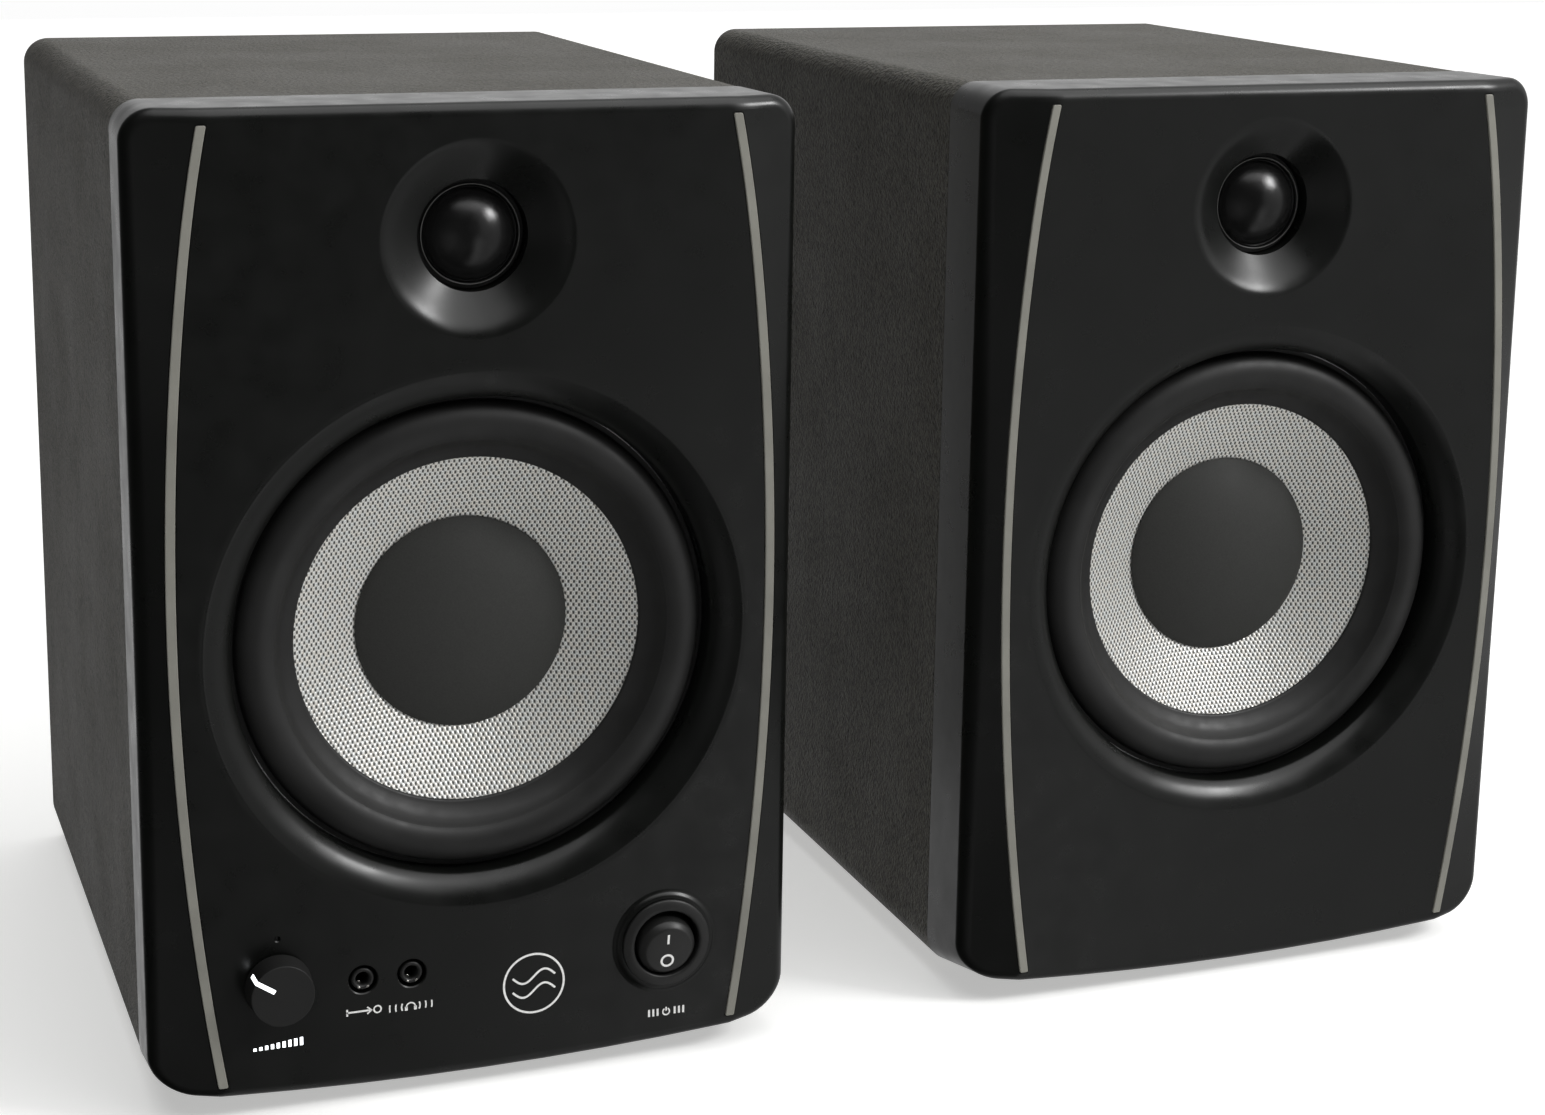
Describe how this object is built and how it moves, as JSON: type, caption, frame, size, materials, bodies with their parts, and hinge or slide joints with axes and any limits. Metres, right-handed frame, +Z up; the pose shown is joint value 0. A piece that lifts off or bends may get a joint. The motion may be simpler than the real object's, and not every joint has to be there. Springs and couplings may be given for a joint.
{
  "type": "desktop speakers",
  "caption": "Pair of powered two-way desktop speakers: box cabinets with moulded fronts, bowed trim strips, cone woofer, recessed dome tweeter and front volume, jacks and power rocker.",
  "frame": {"origin": "centre of the pair's footprint, on the surface it stands on", "axes": "+X to the viewer's right when facing the fronts, +Y towards the back, +Z up; the speaker with the controls is at -X"},
  "size_m": [0.4268, 0.258, 0.2777],
  "materials": {
    "wrapped_board": "black grained vinyl over fibreboard",
    "front_moulding": "satin black moulded plastic",
    "trim": "satin warm grey inlay",
    "foot_rubber": "matt black rubber",
    "surround_rubber": "satin black butyl rubber",
    "cone": "silver-grey woven fibre cone",
    "cap": "matt dark grey",
    "coil": "enamelled copper winding",
    "spider_cloth": "stiffened amber cloth",
    "plated_steel": "zinc-plated pressed steel",
    "ferrite": "matt black ferrite",
    "dome_silk": "coated black silk",
    "black_plastic": "fine-textured black plastic",
    "lit_plastic": "translucent white, lit from behind",
    "amp_plate": "black powder coat",
    "circuit_board": "green solder mask on glass-fibre laminate",
    "red_plastic": "red lever",
    "black_lever": "black lever",
    "capacitor_film": "black shrink sleeve"
  },
  "bodies": {
    "left_speaker": {"left_cabinet_sleeve": "wrapped_board", "left_back_board": "wrapped_board", "left_front_foot_strip": "foot_rubber", "left_rear_foot_strip": "foot_rubber", "left_port_tube": "black_plastic", "left_front_panel": "front_moulding", "left_trim_strip_left": "trim", "left_trim_strip_right": "trim", "left_woofer_frame": "plated_steel", "left_woofer_surround": "surround_rubber", "left_spider": "spider_cloth", "left_woofer_magnet": "ferrite", "left_woofer_yoke": "plated_steel", "left_tweeter_plate": "black_plastic", "left_tweeter_magnet": "ferrite", "left_terminal_housing": "black_plastic", "left_volume_potentiometer": "plated_steel", "left_aux_jack": "black_plastic", "left_phones_jack": "black_plastic", "left_indicator_lens": "black_plastic", "left_switch_housing": "black_plastic", "left_amplifier_plate": "amp_plate", "left_amplifier_board": "circuit_board", "left_transformer": "plated_steel", "left_mains_inlet": "black_plastic", "left_line_input_sockets": "black_plastic"},
    "volume_control": {"left_volume_knob": "black_plastic", "left_knob_pointer": "lit_plastic", "left_volume_shaft": "plated_steel"},
    "power_rocker": {"left_power_rocker": "black_plastic"},
    "left_woofer_moving": {"left_woofer_cone": "cone", "left_dust_cap": "cap", "left_voice_coil": "coil"},
    "left_tweeter_moving": {"left_tweeter_dome": "dome_silk"},
    "left_red_clip": {"left_clip_lever_red": "red_plastic"},
    "left_black_clip": {"left_clip_lever_black": "black_lever"},
    "right_speaker": {"right_cabinet_sleeve": "wrapped_board", "right_back_board": "wrapped_board", "right_front_foot_strip": "foot_rubber", "right_rear_foot_strip": "foot_rubber", "right_port_tube": "black_plastic", "right_front_panel": "front_moulding", "right_trim_strip_left": "trim", "right_trim_strip_right": "trim", "right_woofer_frame": "plated_steel", "right_woofer_surround": "surround_rubber", "right_spider": "spider_cloth", "right_woofer_magnet": "ferrite", "right_woofer_yoke": "plated_steel", "right_tweeter_plate": "black_plastic", "right_tweeter_magnet": "ferrite", "right_terminal_housing": "black_plastic", "right_crossover_capacitor": "capacitor_film"},
    "right_woofer_moving": {"right_woofer_cone": "cone", "right_dust_cap": "cap", "right_voice_coil": "coil"},
    "right_tweeter_moving": {"right_tweeter_dome": "dome_silk"},
    "right_red_clip": {"right_clip_lever_red": "red_plastic"},
    "right_black_clip": {"right_clip_lever_black": "black_lever"}
  },
  "joints": [
    {"name": "right_speaker_shift", "type": "slide", "parent": "left_speaker", "child": "right_speaker", "axis": [1, 0, 0], "range_m": [0, 0.3]},
    {"name": "volume_turn", "type": "hinge", "parent": "left_speaker", "child": "volume_control", "pos_m": [-0.1789, -0.125, 0.0383], "axis": [0, 1, 0], "range_deg": [-94, 206]},
    {"name": "power_rock", "type": "hinge", "parent": "left_speaker", "child": "power_rocker", "pos_m": [-0.0677, -0.116, 0.0363], "axis": [-1, 0, 0], "range_deg": [0, 18]},
    {"name": "left_woofer_travel", "type": "slide", "parent": "left_speaker", "child": "left_woofer_moving", "axis": [0, 1, 0], "range_m": [-0.004, 0.004], "stiffness_N_per_m": 800, "deforming": ["left_woofer_surround", "left_spider"]},
    {"name": "left_tweeter_travel", "type": "slide", "parent": "left_speaker", "child": "left_tweeter_moving", "axis": [0, 1, 0], "range_m": [-0.0003, 0.0003], "stiffness_N_per_m": 1000},
    {"name": "left_red_clip_press", "type": "hinge", "parent": "left_speaker", "child": "left_red_clip", "pos_m": [-0.1044, 0.1227, 0.124], "axis": [1, 0, 0], "range_deg": [0, 18], "stiffness_Nm_per_rad": 0.05, "springref_deg": -5.73},
    {"name": "left_black_clip_press", "type": "hinge", "parent": "left_speaker", "child": "left_black_clip", "pos_m": [-0.0854, 0.1227, 0.124], "axis": [1, 0, 0], "range_deg": [0, 18], "stiffness_Nm_per_rad": 0.05, "springref_deg": -5.73},
    {"name": "right_woofer_travel", "type": "slide", "parent": "right_speaker", "child": "right_woofer_moving", "axis": [0, 1, 0], "range_m": [-0.004, 0.004], "stiffness_N_per_m": 800, "deforming": ["right_woofer_surround", "right_spider"]},
    {"name": "right_tweeter_travel", "type": "slide", "parent": "right_speaker", "child": "right_tweeter_moving", "axis": [0, 1, 0], "range_m": [-0.0003, 0.0003], "stiffness_N_per_m": 1000},
    {"name": "right_red_clip_press", "type": "hinge", "parent": "right_speaker", "child": "right_red_clip", "pos_m": [0.1114, 0.1204, 0.092], "axis": [1, 0, 0], "range_deg": [0, 18], "stiffness_Nm_per_rad": 0.05, "springref_deg": -5.73},
    {"name": "right_black_clip_press", "type": "hinge", "parent": "right_speaker", "child": "right_black_clip", "pos_m": [0.1304, 0.1204, 0.092], "axis": [1, 0, 0], "range_deg": [0, 18], "stiffness_Nm_per_rad": 0.05, "springref_deg": -5.73}
  ]
}
